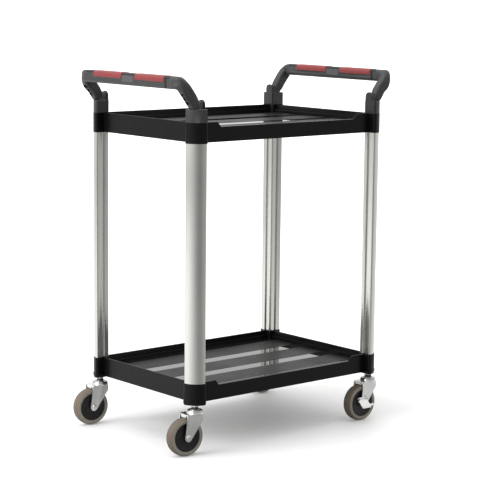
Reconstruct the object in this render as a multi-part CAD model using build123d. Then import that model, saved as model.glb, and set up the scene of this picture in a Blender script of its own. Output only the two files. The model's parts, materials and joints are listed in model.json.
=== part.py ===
from build123d import *
import math
import os

# Two-tier service trolley. Millimetres, +Z up, origin on the floor under the middle of its box.
# +X runs along the length to the braked casters, the long front side faces -Y.

# ---- driving dimensions ------------------------------------------------------------------
CORNER_X = 302.5        # inner vertex of each corner column, from the middle
CORNER_Y = 198.0
COLUMN_R = 42.8         # arc of the quarter-round column, about its inner vertex
COLUMN_WALL = 2.2
GROOVE_AT = 20.0        # groove in each flat of the column, from the vertex
GROOVE_W = 9.0
GROOVE_DEEP = 4.0
SLEEVE_GROW = 1.6       # shelf sleeves stand this far outside the column
SOCKET_DEEP = 24.0      # how far a column enters a sleeve
SPIGOT_LONG = 34.0      # plug inside the end of a column

TRAY_X = 322.0          # outer face of the end walls
TRAY_Y = 219.5          # outer face of the long walls
TOP_SHELF_Z = 889.0     # top of the sleeves of each shelf
BOTTOM_SHELF_Z = 194.0
SLEEVE_TALL = 55.0
WALL_TOP = -1.0         # shelf heights, all measured from the top of its sleeves
WALL_BOTTOM = -54.5
LIP = -14.5
FLOOR = -23.5
FLOOR_THICK = 4.0
WALL_DEEP = 12.0        # width of the hollow lower wall
RIM_THICK = 4.0
LIP_HALF = 241.0        # half length of the lowered front lip
LIP_RAMP = 12.5
BAND_W = 88.0           # textured bands of the tray floor
BAND_PITCH = 130.0
BAND_TALL = 0.4

ROD_X = 321.0           # tie rod, caster socket and swivel axis of each corner
ROD_Y = 216.5
ROD_R = 4.0
SOCKET_Z = 136.0        # underside of the bottom sleeves

BAR_X = 372.0           # middle of the grip bar
BAR_Z = 992.0
BAR_SIZE = 33.0
BAR_ROUND = 9.0
CORE_W = 26.0
STRIP_FROM = 10.5       # grip heights, measured from the middle of the bar
PAD_FROM = 1.0
PAD_PROUD = 0.8
WEB_TOP = 13.0
PAD_SPANS = ((-161.0, -34.0), (25.0, 154.0))
STRIP_SPAN = (-184.0, 188.0)
CLIP_SPAN = (-30.0, 20.0)
CLIP_FROM = -7.0
CLIP_WEB = 8.0
RING_SPAN = (-174.0, -166.0)
ARM_IN, ARM_OUT = 202.0, 229.0
ARM_ROUND = 9.5
BAR_END = 192.0         # where the bar starts to turn into the elbow
UNDERSIDE_TOP = (375.0, 967.6)  # upper end of the flat underside of the arm
UNDERSIDE_SLOPE = 36.4  # degrees from upright
POCKETS_AT = (9.0, 22.5, 36.0)  # cored pockets, down the underside
POCKET_LONG, POCKET_WIDE, POCKET_DEEP = 9.5, 14.0, 7.0
BOOT_TOP = 924.0
TAB_TOP = 948.0
COVER_THICK = 5.0

# Casters, with the swivel axis at x = 0 and the wheel trailing to +X.
WHEEL_R = 52.0
TYRE_W = 30.0
TREAD_DROP = 1.2        # crown of the tread
HUB_R = 38.5
HUB_FACE = 12.5         # half width of the flat face of the wheel centre
TRAIL = 32.0
AXLE_R = 4.0
BOLT_HEAD_R = 7.5
LEG_IN = 18.0
LEG_THICK = 3.0
LEG_END_R = 10.5        # round lower end of a leg
LEG_FRONT = (-14.0, 97.0)   # where the front edge of a leg starts to slope back
LEG_BACK = (36.0, 104.0)
CROWN_SPAN = (-17.0, 36.0)
CROWN_TOP = 114.5
CROWN_THICK = 3.5
CROWN_R = 23.0          # round of the crown about the stem
NOSE_FROM = 105.4       # turned-down end of the crown
RACE_TOP = 122.0
STEM_R = 6.0
HINGE_Y = 25.6          # brake pedal hinge, from the middle of the wheel
HINGE_Z = 69.0
LUGS_AT = (24.0, 35.5)
LUG_THICK = 2.5
PIN_SPAN = (22.5, 60.0)
KNUCKLE_SPAN = (39.0, 57.0)
TREAD_MID = 46.5
TREAD_SIZE = (33.0, 27.0, 2.5)
PEDAL_SLOPE = 42.0      # degrees below level when released
SWIVEL_YAW = {"front_left": 174.5, "rear_left": 175.3, "front_right": 179.1, "rear_right": 181.0}
CORNERS = {"front_left": (-1, -1), "rear_left": (-1, 1), "front_right": (1, -1), "rear_right": (1, 1)}

FIT = 0.1               # gap round a plugged or screwed piece
RUN = 0.05              # radial gap of a turning fit
GAP = 0.4               # side gap of a turning piece

# The trailing wheels reach further out at one end than the handle at the other,
# so everything is shifted along X until the origin is in the middle of the box.
WHEEL_REACH = ROD_X + (TRAIL + WHEEL_R) * abs(math.cos(math.radians(SWIVEL_YAW["front_left"])))
HANDLE_REACH = BAR_X + BAR_SIZE / 2 + PAD_PROUD
FRAME_X = (WHEEL_REACH - HANDLE_REACH) / 2


def save(name, shape):
    os.makedirs("parts", exist_ok=True)
    export_step(Pos(FRAME_X, 0, 0) * shape, f"parts/{name}.step")


def prism(face, bottom, top):
    """Extrude a flat XY face between two heights."""
    return extrude(Pos(0, 0, bottom) * face, top - bottom)


def block(x0, x1, y0, y1, z0, z1):
    return Pos((x0 + x1) / 2, (y0 + y1) / 2, (z0 + z1) / 2) * Box(x1 - x0, y1 - y0, z1 - z0)


def rod(x, y, radius, z0, z1):
    return Pos(x, y, (z0 + z1) / 2) * Cylinder(radius, z1 - z0)


def to_corner(shape, sx, sy):
    """Take a shape made for the +X +Y corner to another corner."""
    if sx < 0:
        shape = mirror(shape, about=Plane.YZ)
    if sy < 0:
        shape = mirror(shape, about=Plane.XZ)
    return shape


# ---- corner columns ----------------------------------------------------------------------
def quadrant(grow, grooves=0.0):
    """Quarter-round section of the +X +Y corner, grown all round, with a groove in each flat."""
    radius = COLUMN_R + grow
    size = radius + grow
    square = Pos(CORNER_X + (radius - grow) / 2, CORNER_Y + (radius - grow) / 2) * Rectangle(size, size)
    face = (square & Pos(CORNER_X, CORNER_Y) * Circle(radius)).face()
    ends = face.vertices()
    face = fillet(ends, max(5.0 + grow, 1.0))
    if grooves:
        deep = GROOVE_DEEP + grooves
        wide = GROOVE_W + 2 * grooves
        for along_x in (True, False):
            size_x, size_y = (wide, deep + 1) if along_x else (deep + 1, wide)
            mid = (deep - 1) / 2
            at = (GROOVE_AT, mid) if along_x else (mid, GROOVE_AT)
            face = face - Pos(CORNER_X + at[0], CORNER_Y + at[1]) * Rectangle(size_x, size_y)
    return face


def column():
    tube = quadrant(0.0, grooves=0.001) - quadrant(-COLUMN_WALL, grooves=COLUMN_WALL - 0.2)
    return prism(tube, BOTTOM_SHELF_Z - SOCKET_DEEP, TOP_SHELF_Z - SLEEVE_TALL + SOCKET_DEEP)


def column_plug(z0, z1):
    """Spigot that fills the end of a column, with a hole for the tie rod."""
    section = quadrant(-COLUMN_WALL - FIT, grooves=COLUMN_WALL + FIT)
    return prism(section, z0, z1) - rod(ROD_X, ROD_Y, ROD_R + FIT, z0 - 1, z1 + 1)


# ---- shelves -----------------------------------------------------------------------------
def ring(outer_x, outer_y, inner_x, inner_y, z0, z1):
    """Rectangular frame, given by half sizes."""
    face = Rectangle(2 * outer_x, 2 * outer_y) - Rectangle(2 * inner_x, 2 * inner_y)
    return prism(face, z0, z1)


def tray():
    """Tray of a shelf, with the top of its sleeves at height zero."""
    inner_x = TRAY_X - WALL_DEEP
    inner_y = TRAY_Y - WALL_DEEP
    under = FLOOR - FLOOR_THICK
    skin = 3.5
    body = ring(TRAY_X, TRAY_Y, TRAY_X - skin, TRAY_Y - skin, WALL_BOTTOM, LIP)
    body += ring(inner_x + skin, inner_y + skin, inner_x, inner_y, under, LIP)
    body += ring(TRAY_X - 1, TRAY_Y - 1, inner_x + 1, inner_y + 1, LIP - skin, LIP)
    body += prism(Rectangle(2 * inner_x + 2, 2 * inner_y + 2), under, FLOOR)
    rim = ring(TRAY_X, TRAY_Y, TRAY_X - RIM_THICK, TRAY_Y - RIM_THICK, LIP, WALL_TOP)
    rim = chamfer(rim.edges().group_by(Axis.Z)[-1], 0.8)
    half = LIP_HALF + LIP_RAMP
    notch = Polyline((-LIP_HALF, LIP), (-half, 0), (half, 0), (LIP_HALF, LIP), close=True)
    notch = extrude(Plane.XZ.offset(TRAY_Y - WALL_DEEP) * make_face(notch), WALL_DEEP + 5)
    body += rim - notch
    for y in (-BAND_PITCH, 0, BAND_PITCH):
        band = Pos(0, y) * RectangleRounded(2 * inner_x - 6, BAND_W, 4)
        body += prism(band, FLOOR - 1, FLOOR + BAND_TALL)
    for x in (-210, -105, 0, 105, 210):
        body += block(x - 1.5, x + 1.5, -TRAY_Y + 2, TRAY_Y - 2, under - 14, under + 1)
    for y in (-100, 0, 100):
        body += block(-TRAY_X + 2, TRAY_X - 2, y - 1.5, y + 1.5, under - 14, under + 1)
    return body


def sleeve(tall):
    """Corner sleeve of a shelf, solid inside, for the +X +Y corner."""
    body = prism(quadrant(SLEEVE_GROW), -tall, 0)
    return chamfer(body.edges().group_by(Axis.Z)[-1], 0.5)


def top_shelf():
    body = tray()
    ledge = block(-TRAY_X - 1, -TRAY_X + 0.9, -180, 196, LIP - 24, LIP - 8.8)
    body = body - ledge - mirror(ledge, about=Plane.YZ)
    corner = sleeve(SLEEVE_TALL)
    corner -= prism(quadrant(FIT), -SLEEVE_TALL - 1, SOCKET_DEEP - SLEEVE_TALL)
    corner += column_plug(-SLEEVE_TALL - 10, SOCKET_DEEP - SLEEVE_TALL)
    corner -= prism(quadrant(-COLUMN_WALL), -16, 1)
    corner -= rod(ROD_X, ROD_Y, ROD_R + FIT, -SLEEVE_TALL, 1)
    return Pos(0, 0, TOP_SHELF_Z) * with_corners(body, corner)


def bottom_shelf():
    body = tray()
    drop = BOTTOM_SHELF_Z - SOCKET_Z
    corner = sleeve(drop)
    foot = prism(quadrant(SLEEVE_GROW + 1.3), -drop, -46)
    foot = chamfer(foot.edges().group_by(Axis.Z)[0], 5, 2.5)
    corner += foot
    corner -= prism(quadrant(FIT), -SOCKET_DEEP, 1)
    corner += column_plug(-SOCKET_DEEP, SPIGOT_LONG - SOCKET_DEEP)
    corner -= rod(ROD_X, ROD_Y, 11 + FIT, -drop - 1, -drop + 42)
    corner -= rod(ROD_X, ROD_Y, 15 + FIT, -drop - 1, -drop + 2)
    return Pos(0, 0, BOTTOM_SHELF_Z) * with_corners(body, corner)


def with_corners(body, corner):
    """Join four corner sleeves to a tray, clearing the tray out of their sections first."""
    for sx, sy in CORNERS.values():
        body -= to_corner(prism(quadrant(SLEEVE_GROW - 0.4), -100, 60), sx, sy)
        body += to_corner(corner, sx, sy)
    return body


# ---- handles, made for the +X end --------------------------------------------------------
def bar_section(width, height, radius, centre=0.0):
    """Section of the grip bar, in the XZ plane."""
    return Plane.XZ * Pos(BAR_X, BAR_Z + centre) * RectangleRounded(width, height, radius)


def along_bar(section, y0, y1):
    return Pos(0, y1, 0) * extrude(section, y1 - y0)


def slab(z0, z1, y0, y1):
    """Everything near the bar between two heights and two places along it."""
    return block(BAR_X - 40, BAR_X + 40, y0, y1, BAR_Z + z0, BAR_Z + z1)


def bar_core(y0, y1, top=STRIP_FROM):
    """Narrow spine of the bar that the strip, pads and clip sit on."""
    spine = along_bar(bar_section(CORE_W, BAR_SIZE, 3), y0, y1)
    return spine & slab(-BAR_SIZE, top, y0, y1)


def arm_section(x, y, z, tangent, across, width, tall, radius):
    """Rounded section of the arm, square to its path; across is the way its width runs."""
    plane = Plane(origin=(x, y, z), x_dir=across, z_dir=tangent)
    return plane * RectangleRounded(width, tall, radius)


def arm():
    """Bent arm: the bar turns down and inward through a round elbow, and runs into a boot."""
    mid = (ARM_IN + ARM_OUT) / 2
    wide = ARM_OUT - ARM_IN
    sections = [arm_section(*place) for place in (
        (BAR_X, BAR_END, BAR_Z, (0, 1, 0), (1, 0, 0), BAR_SIZE, BAR_SIZE, BAR_ROUND),
        (BAR_X, BAR_END + 5, BAR_Z, (0, 1, 0), (1, 0, 0), BAR_SIZE, BAR_SIZE, BAR_ROUND),
        (BAR_X - 3, mid - 6.5, BAR_Z - 3.5, (-0.45, 0.75, -0.48), (0.8, 0.6, 0), 31, BAR_SIZE, ARM_ROUND),
        (363, mid, 979, (-0.65, 0, -0.76), (0, 1, 0), wide, BAR_SIZE, ARM_ROUND),
        (345.5, mid, 957.5, (-0.6, 0, -0.8), (0, 1, 0), wide, BAR_SIZE, ARM_ROUND),
        (333.5, mid, 939.5, (-0.5, 0, -0.87), (0, 1, 0), wide, 31, ARM_ROUND),
        (326.5, mid, 925, (-0.3, 0, -0.95), (0, 1, 0), 24.5, 21, 8),
        (324, mid, 912, (0, 0, -1), (0, 1, 0), 22, 17, 8),
    )]
    return loft(sections)


def boot():
    """Quarter-round boot over the top of a sleeve, open to the tray side for the tie-rod nut."""
    body = prism(quadrant(SLEEVE_GROW - 0.6), TOP_SHELF_Z, BOOT_TOP)
    body = fillet(body.edges().group_by(Axis.Z)[-1], 3)
    neck = block(CORNER_X, 324, 204.5, 225.5, BOOT_TOP - 6, TAB_TOP - 2)
    neck = fillet(neck.edges().group_by(Axis.Z)[-1].filter_by(Axis.X), 6)
    body += neck
    body += prism(quadrant(-COLUMN_WALL - FIT), TOP_SHELF_Z - 16, TOP_SHELF_Z + 1)
    return body


def boot_hollow():
    """Space inside a boot for the cover, the nut and a spanner."""
    cover_space = block(CORNER_X - 5, CORNER_X + COVER_THICK - 1, 190, 250, TOP_SHELF_Z + 1.5, TAB_TOP + 5)
    cavity = block(CORNER_X - 5, 333, 204.5, 228, TOP_SHELF_Z + 6, BOOT_TOP - 4)
    return cover_space + cavity + rod(ROD_X, ROD_Y, ROD_R + FIT, TOP_SHELF_Z - 20, TOP_SHELF_Z + 10)


def boot_cover():
    """Plate with a rounded top that closes the boot on the tray side."""
    low = block(0, COVER_THICK, 200.5, 238.5, TOP_SHELF_Z + 2, BOOT_TOP)
    tab = block(0, COVER_THICK, 201.7, 228.3, BOOT_TOP - 10, TAB_TOP - 13.3)
    tab += Pos(COVER_THICK / 2, 215, TAB_TOP - 13.3) * Rot(0, 90, 0) * Cylinder(13.3, COVER_THICK)
    plate = low + tab
    plate = fillet(plate.faces().sort_by(Axis.X)[0].edges(), 1)
    return Pos(CORNER_X - 1.0, 0, 0) * plate


def arm_pockets():
    """Cored pockets in the sloping underside of an arm, with ribs left between them."""
    slope = math.radians(UNDERSIDE_SLOPE)
    pockets = []
    for along in POCKETS_AT:
        x = UNDERSIDE_TOP[0] - along * math.sin(slope)
        z = UNDERSIDE_TOP[1] - along * math.cos(slope)
        pocket = Rot(0, UNDERSIDE_SLOPE, 0) * Box(2 * POCKET_DEEP, POCKET_WIDE, POCKET_LONG)
        pockets.append(Pos(x, (ARM_IN + ARM_OUT) / 2, z) * pocket)
    return pockets


def handle_end(sy):
    """Boot, arm and elbow at one end of the bar."""
    end = (arm() + boot()) - boot_hollow() - arm_pockets()
    return end if sy > 0 else mirror(end, about=Plane.XZ)


def grip_bar(y0, y1):
    """Bar with its top cut back for the strip, and its sides for the pads and the clip."""
    bar = along_bar(bar_section(BAR_SIZE, BAR_SIZE, BAR_ROUND), y0, y1)
    bar -= slab(STRIP_FROM, 40, max(y0, STRIP_SPAN[0]) - 1, STRIP_SPAN[1])
    for start, stop in PAD_SPANS:
        bar -= slab(PAD_FROM, 40, start, stop) - bar_core(start, stop)
    bar -= slab(CLIP_FROM, 40, *CLIP_SPAN) - bar_core(*CLIP_SPAN, top=CLIP_WEB)
    return bar


def ring_spigot(y0, y1, grow=0.0):
    return along_bar(bar_section(20 + grow, 16 + grow, 4), y0, y1)


def handle_long():
    """Grip bar, rear elbow, rear arm and rear boot in one moulding."""
    body = grip_bar(RING_SPAN[1], BAR_END) + handle_end(1)
    return body - ring_spigot(RING_SPAN[1] - 1, RING_SPAN[1] + 15, 2 * FIT)


def handle_short():
    """Front elbow, front arm and front boot in one moulding."""
    stub = along_bar(bar_section(BAR_SIZE, BAR_SIZE, BAR_ROUND), -BAR_END, RING_SPAN[0])
    stub -= slab(STRIP_FROM, 40, STRIP_SPAN[0], RING_SPAN[0] + 1)
    body = stub + handle_end(-1)
    return body - ring_spigot(RING_SPAN[0] - 15, RING_SPAN[0] + 1, 2 * FIT)


def joint_ring():
    """Black ring between the two mouldings, with a spigot into each."""
    size = BAR_SIZE - 1.2
    body = along_bar(bar_section(size, size, BAR_ROUND - 0.6), *RING_SPAN)
    body -= slab(STRIP_FROM, 40, *RING_SPAN)
    return body + ring_spigot(RING_SPAN[0] - 14.5, RING_SPAN[1] + 14.5)


def grip_strip():
    """Soft cap along the top of the bar, thin where the red pads and the clip sit on it."""
    cap = along_bar(bar_section(BAR_SIZE, BAR_SIZE, BAR_ROUND), *STRIP_SPAN)
    cap &= slab(STRIP_FROM, 40, *STRIP_SPAN)
    for start, stop in PAD_SPANS:
        web = bar_core(start, stop, top=WEB_TOP)
        cap -= slab(STRIP_FROM - 1, 40, start, stop) - web
    return cap


def grip_pad(span):
    """Red saddle pad that stands a little proud of the bar."""
    start, stop = span
    section = bar_section(BAR_SIZE + 2 * PAD_PROUD, BAR_SIZE + 2, BAR_ROUND + 1)
    pad = along_bar(section, start + FIT, stop - FIT)
    pad &= slab(PAD_FROM + FIT, 40, start, stop)
    pad = fillet(pad.edges().group_by(Axis.Z)[0].filter_by(Axis.Y), 0.7)
    return pad - bar_core(start - 1, stop + 1, top=WEB_TOP)


def grip_clip():
    """Plain clip over the middle of the bar, under the strip, with a cheek on each side."""
    clip = along_bar(bar_section(BAR_SIZE + 1.2, BAR_SIZE + 1.2, BAR_ROUND), CLIP_SPAN[0] + FIT, CLIP_SPAN[1] - FIT)
    clip &= slab(CLIP_FROM + FIT, STRIP_FROM, *CLIP_SPAN)
    return clip - bar_core(CLIP_SPAN[0] - 1, CLIP_SPAN[1] + 1, top=CLIP_WEB)


# ---- casters, made with the swivel axis at the origin and the wheel trailing to +X -------
def stem():
    """Threaded stem with a hexagon collar under the socket and a riveted foot."""
    body = rod(0, 0, STEM_R, 103, 166)
    body += prism(RegularPolygon(9, 6, major_radius=False), 124, SOCKET_Z)
    body += rod(0, 0, 9, 102, 106.2)
    return body


def swivel_cap():
    """Upper race of the swivel, clamped under the collar of the stem."""
    cap = Pos(0, 0, 117.8) * Cone(22, 20, 4.2, align=(Align.CENTER, Align.CENTER, Align.MIN))
    cap += rod(0, 0, 13, RACE_TOP, 124)
    return cap - rod(0, 0, STEM_R + FIT, 100, 130)


def leg_outline():
    """Side view of a fork leg: wide under the crown, tapering to a round end at the axle."""
    shoulder = CROWN_TOP - CROWN_THICK + 1
    low = LEG_BACK[1]
    wide = LEG_BACK[0] - LEG_FRONT[0]
    top = Pos((LEG_BACK[0] + LEG_FRONT[0]) / 2, (low + shoulder) / 2) * Rectangle(wide, shoulder - low)
    end = Pos(TRAIL, WHEEL_R) * Circle(LEG_END_R)
    front = tangent_point(TRAIL, WHEEL_R, LEG_END_R, *LEG_FRONT, -1)
    back = tangent_point(TRAIL, WHEEL_R, LEG_END_R, *LEG_BACK, 1)
    web = make_face(Polyline((LEG_FRONT[0], low + 1), LEG_FRONT, front, (TRAIL, WHEEL_R), back, LEG_BACK,
                             (LEG_BACK[0], low + 1), close=True))
    return (top + end + web).face()


def fork(braked):
    """Pressed fork: crown plate, two tapering legs, a turned-down nose and the lower race."""
    leg = extrude(Plane.XZ * leg_outline(), LEG_THICK)
    outer = LEG_IN + LEG_THICK
    legs = Pos(0, outer, 0) * leg
    legs += Pos(0, -LEG_IN, 0) * leg
    start, stop = CROWN_SPAN
    crown = Pos((start + stop) / 2, 0) * RectangleRounded(stop - start, 2 * outer, 8)
    crown += Circle(CROWN_R)
    body = prism(crown, CROWN_TOP - CROWN_THICK, CROWN_TOP) + legs
    body += block(stop - 3, stop, -12, 12, NOSE_FROM, CROWN_TOP - 1)
    body += Pos(0, 0, CROWN_TOP) * Cone(CROWN_R, CROWN_R - 1, 2.8, align=(Align.CENTER, Align.CENTER, Align.MIN))
    body -= rod(0, 0, STEM_R + RUN, 100, 130)
    body -= Pos(TRAIL, 0, WHEEL_R) * Rot(90, 0, 0) * Cylinder(AXLE_R + FIT, 90)
    return body + brake_lugs() if braked else body


def tangent_point(cx, cy, radius, px, py, side):
    """Where the tangent from a point touches a circle."""
    reach = math.hypot(px - cx, py - cy)
    swing = math.atan2(py - cy, px - cx) - math.acos(radius / reach) * side
    return (cx + radius * math.cos(swing), cy + radius * math.sin(swing))


def axle():
    """Bolt through the legs, with a round head, and a nut at the other end."""
    def disc(radius, y0, y1):
        return Pos(TRAIL, (y0 + y1) / 2, WHEEL_R) * Rot(90, 0, 0) * Cylinder(radius, y1 - y0)
    outer = LEG_IN + LEG_THICK
    body = disc(AXLE_R, -outer - 7, outer)
    head = disc(BOLT_HEAD_R, outer, outer + 4.5)
    body += fillet(head.edges().sort_by(Axis.Y)[-1], 2)
    nut = Pos(TRAIL, -outer, WHEEL_R) * Rot(90, 0, 0) * extrude(RegularPolygon(6.5, 6, major_radius=False), 6)
    return body + nut


def turned(*points):
    """Revolve a half section, given as (across, radius) points, about the axle."""
    face = make_face(Polyline(*points, close=True))
    return Pos(TRAIL, 0, WHEEL_R) * Rot(0, 0, 90) * revolve(Plane.XY * face, Axis.X, 360)


def hub():
    """Flat-faced wheel centre with a rim round the edge and a boss round the axle."""
    side = LEG_IN - GAP
    bore = AXLE_R + RUN
    half = [(HUB_FACE, 10.5), (HUB_FACE, HUB_R - 6), (HUB_FACE + 1, HUB_R - 4), (HUB_FACE + 1, HUB_R - 0.5),
            (6, HUB_R)]
    left = [(-side, bore), (-side, 9)] + [(-across, radius) for across, radius in half]
    right = half[::-1] + [(side, 9), (side, bore)]
    return turned(*left, *right)


def tyre():
    """Rubber tyre with a crowned tread and rounded shoulders."""
    half = TYRE_W / 2
    tread = WHEEL_R - TREAD_DROP
    lip = HUB_R - 0.5 + FIT
    crown = ThreePointArc((-half + 4.5, tread), (0, WHEEL_R), (half - 4.5, tread))
    outline = crown
    for s in (-1, 1):
        outline += Line((s * (half - 4.5), tread), (s * (half - 1), WHEEL_R - 4.5))
        outline += Line((s * (half - 1), WHEEL_R - 4.5), (s * half, WHEEL_R - 9))
        outline += Polyline((s * half, WHEEL_R - 9), (s * (half - 0.6), HUB_R + 1.2), (s * (HUB_FACE + 1), lip))
    outline += Polyline((-HUB_FACE - 1, lip), (-6, HUB_R + FIT), (6, HUB_R + FIT), (HUB_FACE + 1, lip))
    return Pos(TRAIL, 0, WHEEL_R) * Rot(0, 0, 90) * revolve(make_face(outline), Axis.X, 360)


def hinge_rod(radius, x0, x1):
    """Round bar on the hinge axis of the brake pedal."""
    return Pos((x0 + x1) / 2, HINGE_Y, HINGE_Z) * Rot(0, 90, 0) * Cylinder(radius, x1 - x0)


def brake_lugs():
    """Two ears on the leg that hold the hinge pin of the pedal."""
    ears = []
    for x in LUGS_AT:
        ear = hinge_rod(4, x, x + LUG_THICK)
        ears.append(ear + block(x, x + LUG_THICK, LEG_IN + 1, HINGE_Y, HINGE_Z - 4, HINGE_Z + 4))
    return ears[0] + ears[1] - hinge_rod(2 + FIT, *PIN_SPAN)


def brake_pin():
    """Hinge pin with a flat head at each end."""
    start, stop = PIN_SPAN
    return hinge_rod(2, start + 0.5, stop - 0.5) + hinge_rod(3.2, start, start + 1.5) + hinge_rod(3.2, stop - 1.5, stop)


def brake_pedal():
    """Pedal: a knuckle on the hinge pin, a sloping tread plate with ribs, and a release finger."""
    long, deep, thick = TREAD_SIZE
    plate = Box(long, deep, thick)
    plate = fillet(plate.edges().filter_by(Axis.Z).sort_by(Axis.Y)[-2:], 4)
    start, stop = KNUCKLE_SPAN
    near = 6.5
    tread = Pos(0, near + deep / 2, 0) * plate
    tread += block(start + 1 - TREAD_MID, stop - 1 - TREAD_MID, 3, near + 1, -thick / 2, thick / 2)
    tread += block(-long / 2 - 14, -long / 2 + 4, near + deep - 11, near + deep - 5, -thick / 2, thick / 2)
    for x in (-10, 0, 10):
        tread += block(x - 1.2, x + 1.2, near + 3, near + deep - 4, thick / 2 - 0.3, thick / 2 + 0.7)
    tread = Pos(TREAD_MID, HINGE_Y, HINGE_Z) * Rot(-PEDAL_SLOPE, 0, 0) * tread
    return hinge_rod(4.2, start, stop) + tread - hinge_rod(2 + RUN, PIN_SPAN[0] - 1, PIN_SPAN[1] + 1)


def caster(name):
    sx, sy = CORNERS[name]
    braked = sx > 0
    place = Pos(sx * ROD_X, sy * ROD_Y, 0) * Rot(0, 0, SWIVEL_YAW[name])
    pieces = {
        "caster_stem": stem(),
        "swivel_cap": swivel_cap(),
        "fork": fork(braked),
        "axle": axle(),
        "wheel_hub": hub(),
        "tyre": tyre(),
    }
    if braked:
        pieces["brake_pedal"] = brake_pedal()
        pieces["brake_pin"] = brake_pin()
    for piece, shape in pieces.items():
        if braked and sy > 0:
            shape = mirror(shape, about=Plane.XZ)
        save(f"{name}_{piece}", place * shape)


def caster_socket():
    """Threaded insert in the foot of a bottom sleeve: caster stem below, tie rod above."""
    body = rod(ROD_X, ROD_Y, 11, SOCKET_Z, SOCKET_Z + 42) + rod(ROD_X, ROD_Y, 15, SOCKET_Z, SOCKET_Z + 2)
    body -= rod(ROD_X, ROD_Y, 6 + FIT, SOCKET_Z - 1, 167)
    return body - rod(ROD_X, ROD_Y, ROD_R + FIT, 160, SOCKET_Z + 43)


def tie_rod():
    return rod(ROD_X, ROD_Y, ROD_R, 168, TOP_SHELF_Z + 14.5)


def tie_nut():
    nut = Pos(ROD_X, ROD_Y) * (RegularPolygon(6.5, 6, major_radius=False) - Circle(ROD_R + FIT))
    return prism(nut, TOP_SHELF_Z + 6, TOP_SHELF_Z + 12.5)


def main():
    save("top_shelf", top_shelf())
    save("bottom_shelf", bottom_shelf())
    post = column()
    socket = caster_socket()
    for name, (sx, sy) in CORNERS.items():
        save(f"{name}_column", to_corner(post, sx, sy))
        save(f"{name}_caster_socket", to_corner(socket, sx, sy))
        save(f"{name}_boot_cover", to_corner(boot_cover(), sx, sy))
        caster(name)
    save("tie_rods", Compound([to_corner(tie_rod(), sx, sy) for sx, sy in CORNERS.values()]))
    save("tie_rod_nuts", Compound([to_corner(tie_nut(), sx, sy) for sx, sy in CORNERS.values()]))
    handle = {
        "handle_bar": handle_long(),
        "handle_front_arm": handle_short(),
        "handle_ring": joint_ring(),
        "grip_strip": grip_strip(),
        "grip_clip": grip_clip(),
        "grip_pad_front": grip_pad(PAD_SPANS[0]),
        "grip_pad_rear": grip_pad(PAD_SPANS[1]),
    }
    for name, shape in handle.items():
        save(f"right_{name}", shape)
        save(f"left_{name}", mirror(shape, about=Plane.YZ))


main()
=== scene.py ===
import json
import math

import bmesh
import bpy
from mathutils import Matrix, Vector


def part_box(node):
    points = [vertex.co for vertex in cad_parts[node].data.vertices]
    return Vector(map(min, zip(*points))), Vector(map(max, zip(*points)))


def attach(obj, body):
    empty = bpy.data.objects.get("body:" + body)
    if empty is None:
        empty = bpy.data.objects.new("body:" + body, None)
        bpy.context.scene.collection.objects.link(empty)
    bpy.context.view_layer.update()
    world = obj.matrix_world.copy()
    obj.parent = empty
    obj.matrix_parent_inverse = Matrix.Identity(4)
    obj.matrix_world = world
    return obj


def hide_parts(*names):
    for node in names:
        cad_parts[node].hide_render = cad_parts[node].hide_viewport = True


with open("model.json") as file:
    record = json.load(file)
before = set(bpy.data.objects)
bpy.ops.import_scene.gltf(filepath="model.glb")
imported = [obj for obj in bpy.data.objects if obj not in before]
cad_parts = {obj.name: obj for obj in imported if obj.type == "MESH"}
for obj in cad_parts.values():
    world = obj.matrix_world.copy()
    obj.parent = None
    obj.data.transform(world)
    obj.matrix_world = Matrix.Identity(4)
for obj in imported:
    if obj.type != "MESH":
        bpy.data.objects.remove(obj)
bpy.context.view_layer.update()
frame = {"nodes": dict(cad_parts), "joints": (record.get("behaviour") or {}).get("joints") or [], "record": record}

MERGE = 4e-6                        # corners of the CAD triangles this close are one corner
FLAT_ANGLE = math.radians(0.4)      # triangles this level with each other are one flat face
EDGE_ANGLE = math.radians(28)       # edges sharper than this are rounded

# Tray floors: height below the top of each shelf, and the bands that run along X, all in metres.
TOP_FLOOR_DEEP, BOTTOM_FLOOR_DEEP = 0.0234, 0.0334
FLOOR_REACH = 0.0012                # how far above or below the floor the bands and strips still count
BAND_HALF, BAND_PITCH_HALF = 0.044, 0.065
FLOOR_FACES_UP = 0.7                # least upward part of a face's direction for it to be floor

# Edge round of each moulded, pressed or turned piece, in metres.
EDGE_ROUNDS = {"shelf": 0.0012, "column": 0.0005, "boot_cover": 0.0010, "handle_front_arm": 0.0008,
               "handle_bar": 0.0008, "handle_ring": 0.0006, "grip_strip": 0.0010, "grip_pad_front": 0.0016,
               "grip_pad_rear": 0.0016, "grip_clip": 0.0008, "fork": 0.0005, "swivel_cap": 0.0005,
               "wheel_hub": 0.0006, "brake_pedal": 0.0005, "axle": 0.0004}

# Half section of a tyre from the rim outwards, as (across, radius) from the middle of the wheel.
TYRE_HALF = ((0.0060, 0.0387), (0.0128, 0.0383), (0.0140, 0.0392), (0.0146, 0.0404), (0.0146, 0.0428),
             (0.0150, 0.0434), (0.0149, 0.0458), (0.0142, 0.0480), (0.0126, 0.0497), (0.0100, 0.0507),
             (0.0060, 0.0515), (0.0020, 0.0519))
TYRE_STEPS = 96
STEM_PAINTED_SHADE_TOP = 0.1305       # height up to which each caster stem is painted black as the shade under the swivel collar

DUST = (0.42, 0.40, 0.37)
# sidewall rubber: its greyer tone is real, its lift over the tread is painted light
SIDEWALL_TONE_AND_LIGHT = (0.30, 0.285, 0.25)
# painted shade: the black of each caster stem below the swivel collar
STEM_PAINTED_SHADE_BLACK = (0.015, 0.015, 0.015)

FLOOR_SIZE = 60.0       # half width of the studio floor
FLOOR_SHADE = 0.82
FLOOR_PAINTED_GLOW = (0.4, 3.0, 0.16, 0.9)  # painted glow lifting the floor to white for the camera, from near the trolley to far from it

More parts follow.
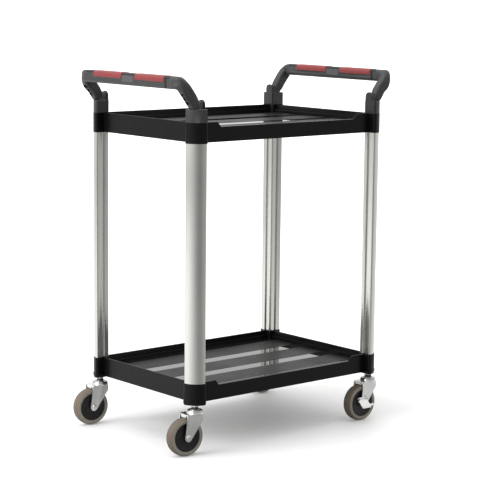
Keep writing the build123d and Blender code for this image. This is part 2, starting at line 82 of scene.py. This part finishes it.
# Camera: a long lens in front of the left end, a little above the handles.
CAMERA_AT = (-3.1726, -3.7885, 1.2559)
CAMERA_YAW = 40.46
CAMERA_DOWN = 8.718
CAMERA_ROLL = 0.669
CAMERA_LENS = 126.5

# Brightness of the studio walls by the angle from the camera, in degrees, the right side positive.
STUDIO_WALLS = ((-180, 1.0), (-105, 1.0), (-70, 0.95), (-30, 0.7), (5, 0.3), (24, 0.26),
                (42, 0.42), (85, 0.62), (125, 1.0), (180, 1.0))


# ---- shader helpers ----------------------------------------------------------------------
def new_material(name):
    material = bpy.data.materials.new(name)
    material.use_nodes = True
    nodes = material.node_tree.nodes
    shader = next(node for node in nodes if node.type == "BSDF_PRINCIPLED")
    return material, material.node_tree, shader


def math_node(tree, operation, first, second=None, clamp=False):
    node = tree.nodes.new("ShaderNodeMath")
    node.operation = operation
    node.use_clamp = clamp
    for socket, value in zip(node.inputs, (first, second)):
        if isinstance(value, (int, float)):
            socket.default_value = value
        elif value is not None:
            tree.links.new(value, socket)
    return node.outputs[0]


def ramp(tree, factor, low, high, out_low, out_high):
    """Map a value from one range to another, clamped."""
    node = tree.nodes.new("ShaderNodeMapRange")
    tree.links.new(factor, node.inputs["Value"])
    node.inputs["From Min"].default_value = low
    node.inputs["From Max"].default_value = high
    node.inputs["To Min"].default_value = out_low
    node.inputs["To Max"].default_value = out_high
    return node.outputs["Result"]


def mix_colour(tree, factor, first, second):
    node = tree.nodes.new("ShaderNodeMix")
    node.data_type = "RGBA"
    sockets = (node.inputs[0], node.inputs[6], node.inputs[7])
    for socket, value in zip(sockets, (factor, first, second)):
        if isinstance(value, bpy.types.NodeSocket):
            tree.links.new(value, socket)
        else:
            socket.default_value = (*value, 1.0) if isinstance(value, tuple) else value
    return node.outputs[2]


def object_coords(tree):
    return tree.nodes.new("ShaderNodeTexCoord").outputs["Object"]


def noise(tree, coords, scale, detail=4.0, roughness=0.55, stretch=None):
    if stretch:
        mapping = tree.nodes.new("ShaderNodeMapping")
        mapping.inputs["Scale"].default_value = stretch
        tree.links.new(coords, mapping.inputs["Vector"])
        coords = mapping.outputs["Vector"]
    node = tree.nodes.new("ShaderNodeTexNoise")
    node.inputs["Scale"].default_value = scale
    node.inputs["Detail"].default_value = detail
    node.inputs["Roughness"].default_value = roughness
    tree.links.new(coords, node.inputs["Vector"])
    return node.outputs["Fac"]


def bump(tree, height, shader, strength, distance):
    node = tree.nodes.new("ShaderNodeBump")
    node.inputs["Strength"].default_value = strength
    node.inputs["Distance"].default_value = distance
    tree.links.new(height, node.inputs["Height"])
    tree.links.new(node.outputs["Normal"], shader.inputs["Normal"])


def make_surface_group():
    """Shared effect: mould grain or metal mottle as a height, a slow stain, and a thin film of dust."""
    group = bpy.data.node_groups.new("surface_life", "ShaderNodeTree")
    face = group.interface
    face.new_socket("Base", in_out="INPUT", socket_type="NodeSocketColor")
    face.new_socket("Dust Colour", in_out="INPUT", socket_type="NodeSocketColor")
    for name in ("Roughness", "Grain Scale", "Stain Amount", "Dust Amount"):
        face.new_socket(name, in_out="INPUT", socket_type="NodeSocketFloat")
    face.new_socket("Colour", in_out="OUTPUT", socket_type="NodeSocketColor")
    face.new_socket("Roughness", in_out="OUTPUT", socket_type="NodeSocketFloat")
    face.new_socket("Grain", in_out="OUTPUT", socket_type="NodeSocketFloat")
    start = group.nodes.new("NodeGroupInput").outputs
    end = group.nodes.new("NodeGroupOutput").inputs
    coords = object_coords(group)
    grain_node = group.nodes.new("ShaderNodeTexNoise")
    grain_node.inputs["Detail"].default_value = 2.0
    group.links.new(coords, grain_node.inputs["Vector"])
    group.links.new(start["Grain Scale"], grain_node.inputs["Scale"])
    stain = ramp(group, noise(group, coords, 9.0, 5.0), 0.35, 0.7, -1.0, 1.0)
    shade = math_node(group, "MULTIPLY", stain, start["Stain Amount"])
    shade = math_node(group, "ADD", shade, 1.0)
    tint = group.nodes.new("ShaderNodeVectorMath")
    tint.operation = "SCALE"
    group.links.new(start["Base"], tint.inputs[0])
    group.links.new(shade, tint.inputs["Scale"])
    normal = group.nodes.new("ShaderNodeNewGeometry").outputs["Normal"]
    split = group.nodes.new("ShaderNodeSeparateXYZ")
    group.links.new(normal, split.inputs[0])
    upward = ramp(group, split.outputs["Z"], 0.3, 1.0, 0.0, 1.0)
    patch = ramp(group, noise(group, coords, 38.0, 6.0, 0.7), 0.42, 0.72, 0.0, 1.0)
    film = math_node(group, "MULTIPLY", upward, patch)
    film = math_node(group, "MULTIPLY", film, start["Dust Amount"], clamp=True)
    group.links.new(mix_colour(group, film, tint.outputs[0], start["Dust Colour"]), end["Colour"])
    rough = math_node(group, "MULTIPLY", stain, 0.035)
    rough = math_node(group, "ADD", rough, start["Roughness"])
    rough = math_node(group, "ADD", rough, math_node(group, "MULTIPLY", film, 0.3), clamp=True)
    group.links.new(rough, end["Roughness"])
    group.links.new(grain_node.outputs["Fac"], end["Grain"])
    return group


surface_life = make_surface_group()


def surface(name, colour, roughness, grain_scale=900.0, stain=0.05, dust=0.03, metallic=0.0,
            grain_bump=0.2, grain_depth=0.0002, specular=0.5):
    """A material built on the shared surface group; returns it with its tree, shader and group."""
    material, tree, shader = new_material(name)
    life = tree.nodes.new("ShaderNodeGroup")
    life.node_tree = surface_life
    life.inputs["Base"].default_value = (*colour, 1.0)
    life.inputs["Dust Colour"].default_value = (*DUST, 1.0)
    life.inputs["Roughness"].default_value = roughness
    life.inputs["Grain Scale"].default_value = grain_scale
    life.inputs["Stain Amount"].default_value = stain
    life.inputs["Dust Amount"].default_value = dust
    tree.links.new(life.outputs["Colour"], shader.inputs["Base Color"])
    tree.links.new(life.outputs["Roughness"], shader.inputs["Roughness"])
    shader.inputs["Metallic"].default_value = metallic
    shader.inputs["Specular IOR Level"].default_value = specular
    if grain_bump:
        bump(tree, life.outputs["Grain"], shader, grain_bump, grain_depth)
    return material, tree, shader, life


# ---- materials ---------------------------------------------------------------------------
def shelf_plastic(name, floor_z):
    """Satin black polypropylene; the tray floor has grained bands between mirror-bright strips."""
    material, tree, shader, life = surface(name, (0.0045, 0.0045, 0.005), 0.30, 1400.0, 0.15, 0.02,
                                           grain_bump=0, specular=0.15)
    split = tree.nodes.new("ShaderNodeSeparateXYZ")
    tree.links.new(object_coords(tree), split.inputs[0])
    on_floor = math_node(tree, "SUBTRACT", split.outputs["Z"], floor_z)
    on_floor = math_node(tree, "LESS_THAN", math_node(tree, "ABSOLUTE", on_floor), FLOOR_REACH)
    facing = tree.nodes.new("ShaderNodeSeparateXYZ")
    tree.links.new(tree.nodes.new("ShaderNodeTexCoord").outputs["Normal"], facing.inputs[0])
    faces_up = math_node(tree, "GREATER_THAN", facing.outputs["Z"], FLOOR_FACES_UP)
    on_floor = math_node(tree, "MULTIPLY", on_floor, faces_up)
    from_middle = math_node(tree, "PINGPONG", split.outputs["Y"], BAND_PITCH_HALF)
    band = math_node(tree, "MULTIPLY", math_node(tree, "LESS_THAN", from_middle, BAND_HALF), on_floor)
    strip = math_node(tree, "SUBTRACT", on_floor, band, clamp=True)
    rough = math_node(tree, "MULTIPLY", strip, -0.27)
    rough = math_node(tree, "ADD", rough, math_node(tree, "MULTIPLY", band, 0.12))
    rough = math_node(tree, "ADD", rough, life.outputs["Roughness"], clamp=True)
    tree.links.new(rough, shader.inputs["Roughness"])
    tree.links.new(math_node(tree, "MULTIPLY", strip, 0.6), shader.inputs["Coat Weight"])
    shader.inputs["Coat Roughness"].default_value = 0.04
    coarse = noise(tree, object_coords(tree), 420.0, 3.0, 0.6)
    depth = math_node(tree, "ADD", math_node(tree, "MULTIPLY", band, 0.9), 0.1)
    height = math_node(tree, "MULTIPLY", coarse, depth)
    height = math_node(tree, "MULTIPLY", height, math_node(tree, "SUBTRACT", 1.0, strip))
    bump(tree, height, shader, 0.5, 0.0004)
    return material


def anodised_aluminium():
    """Satin anodised extrusion with faint drawing lines along its length."""
    material, tree, shader, _ = surface("anodised_aluminium", (0.66, 0.665, 0.63), 0.22, 700.0, 0.015, 0.0,
                                        metallic=1.0, grain_bump=0)
    lines = noise(tree, object_coords(tree), 1.0, 2.0, 0.5, stretch=(420.0, 420.0, 0.8))
    bump(tree, lines, shader, 0.03, 0.00003)
    return material


def stem_steel():
    """Zinc plate, with the stem below the swivel collar painted black and dull, a painted shade under the collar.
    """
    material, tree, shader, life = surface("caster_stem_steel", (0.62, 0.63, 0.62), 0.25, 300.0, 0.06, 0.02,
                                           grain_bump=0.06, grain_depth=0.0003)
    split = tree.nodes.new("ShaderNodeSeparateXYZ")
    tree.links.new(object_coords(tree), split.inputs[0])
    # below this height the stem is painted black and not metallic, as shade under the collar
    plated_above_painted_shade = math_node(tree, "GREATER_THAN", split.outputs["Z"], STEM_PAINTED_SHADE_TOP)
    colour = mix_colour(tree, plated_above_painted_shade, STEM_PAINTED_SHADE_BLACK, life.outputs["Colour"])
    tree.links.new(colour, shader.inputs["Base Color"])
    tree.links.new(plated_above_painted_shade, shader.inputs["Metallic"])
    return material


def zinc_plate(name, bright):
    """Bright zinc plating with a cool, slightly mottled finish."""
    return surface(name, (bright, bright * 1.01, bright * 0.99), 0.3, 300.0, 0.06, 0.02,
                   metallic=1.0, grain_bump=0.06, grain_depth=0.0003)[0]


def tyre_rubber():
    """Grey-brown rubber, browner on the tread and greyer on the sidewalls, the tread also painted darker as shade,
    with fine scuffs round the tread.
    """
    material, tree, shader, life = surface("grey_tyre", (0.15, 0.118, 0.088), 0.58, 900.0, 0.10, 0.06,
                                           specular=0.3)
    split = tree.nodes.new("ShaderNodeSeparateXYZ")
    tree.links.new(tree.nodes.new("ShaderNodeTexCoord").outputs["Normal"], split.inputs[0])
    # sidewalls picked by facing: partly the rubber's greyer tone, partly painted shade that darkens the tread
    sidewall_tone_and_painted_light = ramp(tree, math_node(tree, "ABSOLUTE", split.outputs["Y"]), 0.6, 0.95, 0.0, 1.0)
    scuffs = ramp(tree, noise(tree, object_coords(tree), 60.0, 6.0, 0.7), 0.4, 0.7, 0.75, 1.0)
    sidewall_tone_and_painted_light = math_node(tree, "MULTIPLY", sidewall_tone_and_painted_light, scuffs)
    tree.links.new(mix_colour(tree, sidewall_tone_and_painted_light, life.outputs["Colour"], SIDEWALL_TONE_AND_LIGHT), shader.inputs["Base Color"])
    return material


# Plain mouldings: name, colour, roughness, grain scale, stain, dust and specular level.
MOULDINGS = (("handle_plastic", (0.044, 0.044, 0.045), 0.42, 1500.0, 0.08, 0.02, 0.3),
             ("cover_plastic", (0.031, 0.031, 0.032), 0.40, 1500.0, 0.08, 0.02, 0.3),
             ("black_trim", (0.01, 0.01, 0.01), 0.5, 1100.0, 0.1, 0.03, 0.3),
             ("clip_plastic", (0.082, 0.081, 0.09), 0.38, 1500.0, 0.06, 0.02, 0.3),
             ("red_soft_grip", (0.23, 0.033, 0.033), 0.4, 1300.0, 0.06, 0.02, 0.35),
             ("hub_plastic", (0.012, 0.011, 0.011), 0.36, 1200.0, 0.1, 0.06, 0.3))

# A finish for each slot, and for the pieces whose own finish differs from their slot's.
MATERIALS = {
    "top_shelf": shelf_plastic("shelf_plastic_top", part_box("top_shelf")[1].z - TOP_FLOOR_DEEP),
    "bottom_shelf": shelf_plastic("shelf_plastic_bottom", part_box("bottom_shelf")[1].z - BOTTOM_FLOOR_DEEP),
    "anodised_aluminium": anodised_aluminium(),
    "zinc_steel": zinc_plate("zinc_plate", 0.82),
    # the swivel caps take a darker copy of the zinc plate, a painted reflection of the dark shelf sleeve above
    # them
    "swivel_cap": zinc_plate("zinc_plate_cap_painted_dark", 0.5),
    "caster_stem": stem_steel(),
    "grey_tyre": tyre_rubber(),
}
for name, colour, roughness, grain_scale, stain, dust, specular in MOULDINGS:
    MATERIALS[name] = surface(name, colour, roughness, grain_scale, stain, dust, specular=specular)[0]


def paint(obj, material):
    obj.data.materials.clear()
    obj.data.materials.append(material)


# ---- stage -------------------------------------------------------------------------------
def studio_level(tree, coords):
    """Brightness of the studio in a direction across the floor, as STUDIO_WALLS gives it, and its height."""
    split = tree.nodes.new("ShaderNodeSeparateXYZ")
    tree.links.new(coords, split.inputs[0])
    turn = math.radians(CAMERA_YAW)
    ahead = math_node(tree, "ADD", math_node(tree, "MULTIPLY", split.outputs["X"], -math.sin(turn)),
                      math_node(tree, "MULTIPLY", split.outputs["Y"], -math.cos(turn)))
    across = math_node(tree, "ADD", math_node(tree, "MULTIPLY", split.outputs["X"], math.cos(turn)),
                       math_node(tree, "MULTIPLY", split.outputs["Y"], -math.sin(turn)))
    place = ramp(tree, math_node(tree, "ARCTAN2", across, ahead), -math.pi, math.pi, 0.0, 1.0)
    walls = tree.nodes.new("ShaderNodeValToRGB")
    stops = walls.color_ramp.elements
    for degrees, level in STUDIO_WALLS:
        at = (degrees + 180) / 360
        stop = stops.new(at) if degrees not in (-180, 180) else stops[0 if degrees < 0 else -1]
        stop.position = at
        stop.color = (level, level, level, 1.0)
    tree.links.new(place, walls.inputs["Fac"])
    return walls.outputs["Color"], split.outputs["Z"]


def make_floor():
    """Wide pale floor with a painted glow, seen only by the camera, that grows away from the trolley so it meets
    the white studio; in reflections it shows painted shade by direction.
    """
    mesh = bmesh.new()
    bmesh.ops.create_grid(mesh, x_segments=1, y_segments=1, size=FLOOR_SIZE)
    data = bpy.data.meshes.new("studio_floor")
    mesh.to_mesh(data)
    mesh.free()
    floor = bpy.data.objects.new("studio_floor", data)
    bpy.context.scene.collection.objects.link(floor)
    material, tree, shader = new_material("studio_floor")
    shader.inputs["Roughness"].default_value = 0.6
    seen = tree.nodes.new("ShaderNodeLightPath").outputs["Is Camera Ray"]
    level, _ = studio_level(tree, object_coords(tree))
    # the camera sees the floor white; other rays see it shaded by the studio walls' levels by direction, a painted
    # shade
    shade = mix_colour(tree, seen, level, (1.0, 1.0, 1.0))
    tint = tree.nodes.new("ShaderNodeVectorMath")
    tint.operation = "SCALE"
    tree.links.new(shade, tint.inputs[0])
    tint.inputs["Scale"].default_value = FLOOR_SHADE
    tree.links.new(tint.outputs[0], shader.inputs["Base Color"])
    away = tree.nodes.new("ShaderNodeVectorMath")
    away.operation = "LENGTH"
    tree.links.new(object_coords(tree), away.inputs[0])
    # painted glow for camera rays only, rising from near the trolley outwards
    painted_glow_amount = math_node(tree, "MULTIPLY", ramp(tree, away.outputs["Value"], *FLOOR_PAINTED_GLOW), seen)
    glow = mix_colour(tree, painted_glow_amount, (0.0, 0.0, 0.0), (1.0, 1.0, 0.985))
    tree.links.new(glow, shader.inputs["Emission Color"])
    shader.inputs["Emission Strength"].default_value = 1.0
    paint(floor, material)


def make_light(name, place, target, size, power):
    data = bpy.data.lights.new(name, "AREA")
    data.shape = "RECTANGLE"
    data.size, data.size_y = size
    data.energy = power
    light = bpy.data.objects.new(name, data)
    light.location = place
    light.rotation_euler = (Vector(target) - Vector(place)).to_track_quat("-Z", "Y").to_euler()
    bpy.context.scene.collection.objects.link(light)


def make_world():
    """White studio, dimmer round the camera and beyond the right end, so metal has something to show."""
    world = bpy.data.worlds.new("studio_world")
    world.use_nodes = True
    tree = world.node_tree
    level, height = studio_level(tree, tree.nodes.new("ShaderNodeTexCoord").outputs["Generated"])
    sky = mix_colour(tree, ramp(tree, height, 0.25, 0.8, 0.0, 1.0), level, (0.9, 0.9, 0.9))
    background = tree.nodes["Background"]
    tree.links.new(sky, background.inputs["Color"])
    background.inputs["Strength"].default_value = 1.05
    bpy.context.scene.world = world


def make_camera():
    data = bpy.data.cameras.new("camera")
    data.lens = CAMERA_LENS
    camera = bpy.data.objects.new("camera", data)
    camera.location = CAMERA_AT
    yaw = Matrix.Rotation(math.radians(-CAMERA_YAW), 3, "Z")
    tilt = Matrix.Rotation(math.radians(90 - CAMERA_DOWN), 3, "X")
    roll = Matrix.Rotation(math.radians(CAMERA_ROLL), 3, "Z")
    camera.rotation_euler = (yaw @ tilt @ roll).to_euler()
    bpy.context.scene.collection.objects.link(camera)
    bpy.context.scene.camera = camera


make_camera()
make_floor()
make_world()
make_light("key_light", (-3.8, 0.6, 2.6), (0, 0, 0.5), (2.5, 2.5), 120)
make_light("top_light", (-0.6, 0.4, 4.2), (0, 0, 0), (3.0, 3.0), 60)
bpy.context.scene.view_settings.view_transform = "Standard"

slot_of = {item["node"]: item["material_slot"] for item in frame["record"]["subparts"]}
body_of = {node: body for body, nodes in frame["record"]["behaviour"]["bodies"].items() for node in nodes}
spin_of = {joint["child"]: joint for joint in frame["joints"] if joint["name"].endswith("wheel_spin")}


def material_of(node):
    """The finish of a node: its own where one is listed by the end of its name, or else its slot's."""
    own = [finish for kind, finish in MATERIALS.items() if node.endswith(kind)]
    return own[0] if own else MATERIALS[slot_of[node]]


def make_piece(name, mesh, node):
    """Put a finished mesh in the place of a CAD node, on the same body and with the same finish."""
    for face in mesh.faces:
        face.smooth = True
    data = bpy.data.meshes.new(name)
    mesh.to_mesh(data)
    mesh.free()
    piece = bpy.data.objects.new(name, data)
    bpy.context.scene.collection.objects.link(piece)
    paint(piece, material_of(node))
    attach(piece, body_of[node])
    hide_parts(node)
    return piece


def edge_rounded(node, width):
    """The CAD shape with its flat faces made whole and its sharp edges rounded."""
    mesh = bmesh.new()
    mesh.from_mesh(frame["nodes"][node].data)
    bmesh.ops.remove_doubles(mesh, verts=mesh.verts, dist=MERGE)
    bmesh.ops.dissolve_limit(mesh, angle_limit=FLAT_ANGLE, use_dissolve_boundaries=False,
                             verts=mesh.verts, edges=mesh.edges)
    piece = make_piece(f"{node}_rounded", mesh, node)
    piece.data.set_sharp_from_angle(angle=EDGE_ANGLE)
    edges = piece.modifiers.new("edge_round", "BEVEL")
    edges.width = width
    edges.segments = 2
    edges.limit_method = "ANGLE"
    edges.angle_limit = EDGE_ANGLE
    edges.harden_normals = True


def spun_tyre(node):
    """A tyre turned about its axle: bead, stepped sidewall, round shoulder and crowned tread."""
    spin = spin_of[body_of[node]]
    axis = Vector(spin["axis"])
    mesh = bmesh.new()
    section = TYRE_HALF + tuple((-across, radius) for across, radius in reversed(TYRE_HALF))
    corners = [mesh.verts.new((0.0, across, radius)) for across, radius in section]
    edges = [mesh.edges.new(pair) for pair in zip(corners, corners[1:] + corners[:1])]
    bmesh.ops.spin(mesh, geom=corners + edges, cent=(0, 0, 0), axis=(0, 1, 0), angle=math.tau,
                   steps=TYRE_STEPS, use_merge=True)
    bmesh.ops.remove_doubles(mesh, verts=mesh.verts, dist=MERGE)
    turn = Vector((0, 1, 0)).rotation_difference(axis).to_matrix().to_4x4()
    place = Matrix.Translation(spin["pos_m"]) @ turn
    bmesh.ops.transform(mesh, matrix=place, verts=mesh.verts)
    bmesh.ops.recalc_face_normals(mesh, faces=mesh.faces)
    piece = make_piece(f"{node}_moulded", mesh, node)
    rounds = piece.modifiers.new("rounds", "SUBSURF")
    rounds.levels = rounds.render_levels = 1


for node, obj in frame["nodes"].items():
    paint(obj, material_of(node))
    width = next((size for kind, size in EDGE_ROUNDS.items() if node.endswith(kind)), None)
    if node.endswith("tyre"):
        spun_tyre(node)
    elif width:
        edge_rounded(node, width)
